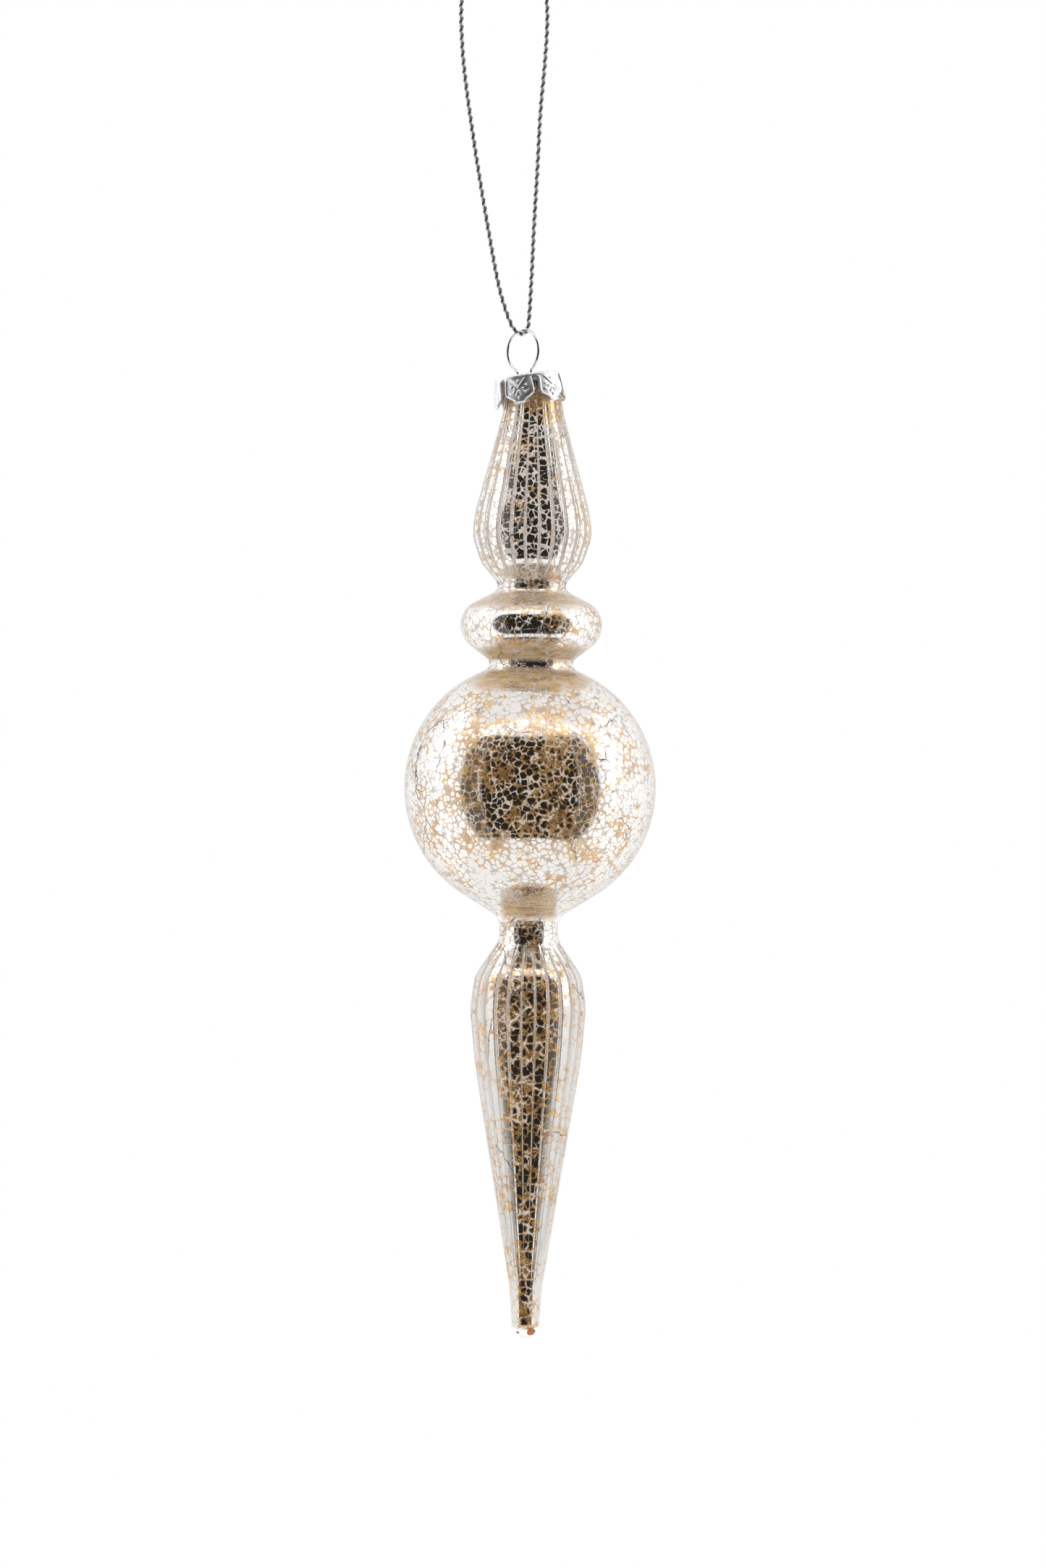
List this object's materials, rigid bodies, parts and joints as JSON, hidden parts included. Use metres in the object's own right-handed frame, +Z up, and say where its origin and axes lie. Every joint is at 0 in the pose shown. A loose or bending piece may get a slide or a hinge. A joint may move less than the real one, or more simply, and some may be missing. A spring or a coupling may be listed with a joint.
{
  "type": "icicle hanging ornament",
  "caption": "Blown mercury-glass icicle finial with ribbed drops round a sphere, a crown cap with a wire loop, and a knotted metallic hanging cord.",
  "frame": {"origin": "underside of the top of the cord loop, where the twig or hook that carries the ornament passes through it", "axes": "+Z up along the hanging ornament, -Y its front, +X to the right seen from the front"},
  "size_m": [0.0513, 0.0513, 0.2916],
  "materials": {
    "silvered_glass": "clear glass silvered inside in a crackled mercury-glass pattern with amber and pinkish traces",
    "silver_lining": "crackled silvering on the inner wall, with amber and tan lines where it is broken",
    "cap_metal": "bright pressed and embossed sheet",
    "hanger_wire": "bright drawn spring wire",
    "metallic_cord": "twisted silver-grey metallic thread"
  },
  "bodies": {
    "cord": {"hanging_cord": "metallic_cord", "cord_knot": "metallic_cord"},
    "hanger": {"hanger_spring": "hanger_wire"},
    "cap": {"crown_cap": "cap_metal"},
    "glass": {"glass_body": "silvered_glass"}
  },
  "joints": [
    {"name": "cord_swing", "type": "hinge", "parent": "cord", "child": "hanger", "pos_m": [0.0035, 0, -0.0753], "axis": [0.7039, -0.7039, 0.0958], "range_deg": [-80, 80]},
    {"name": "loop_rock", "type": "hinge", "parent": "hanger", "child": "cap", "pos_m": [0.00414, -0.00064, -0.0847], "axis": [0.7034, -0.7034, 0.1026], "range_deg": [-12, 12]},
    {"name": "cap_pull_off", "type": "slide", "parent": "cap", "child": "glass", "axis": [-0.0087, 0, -1], "range_m": [0, 0.025]}
  ]
}
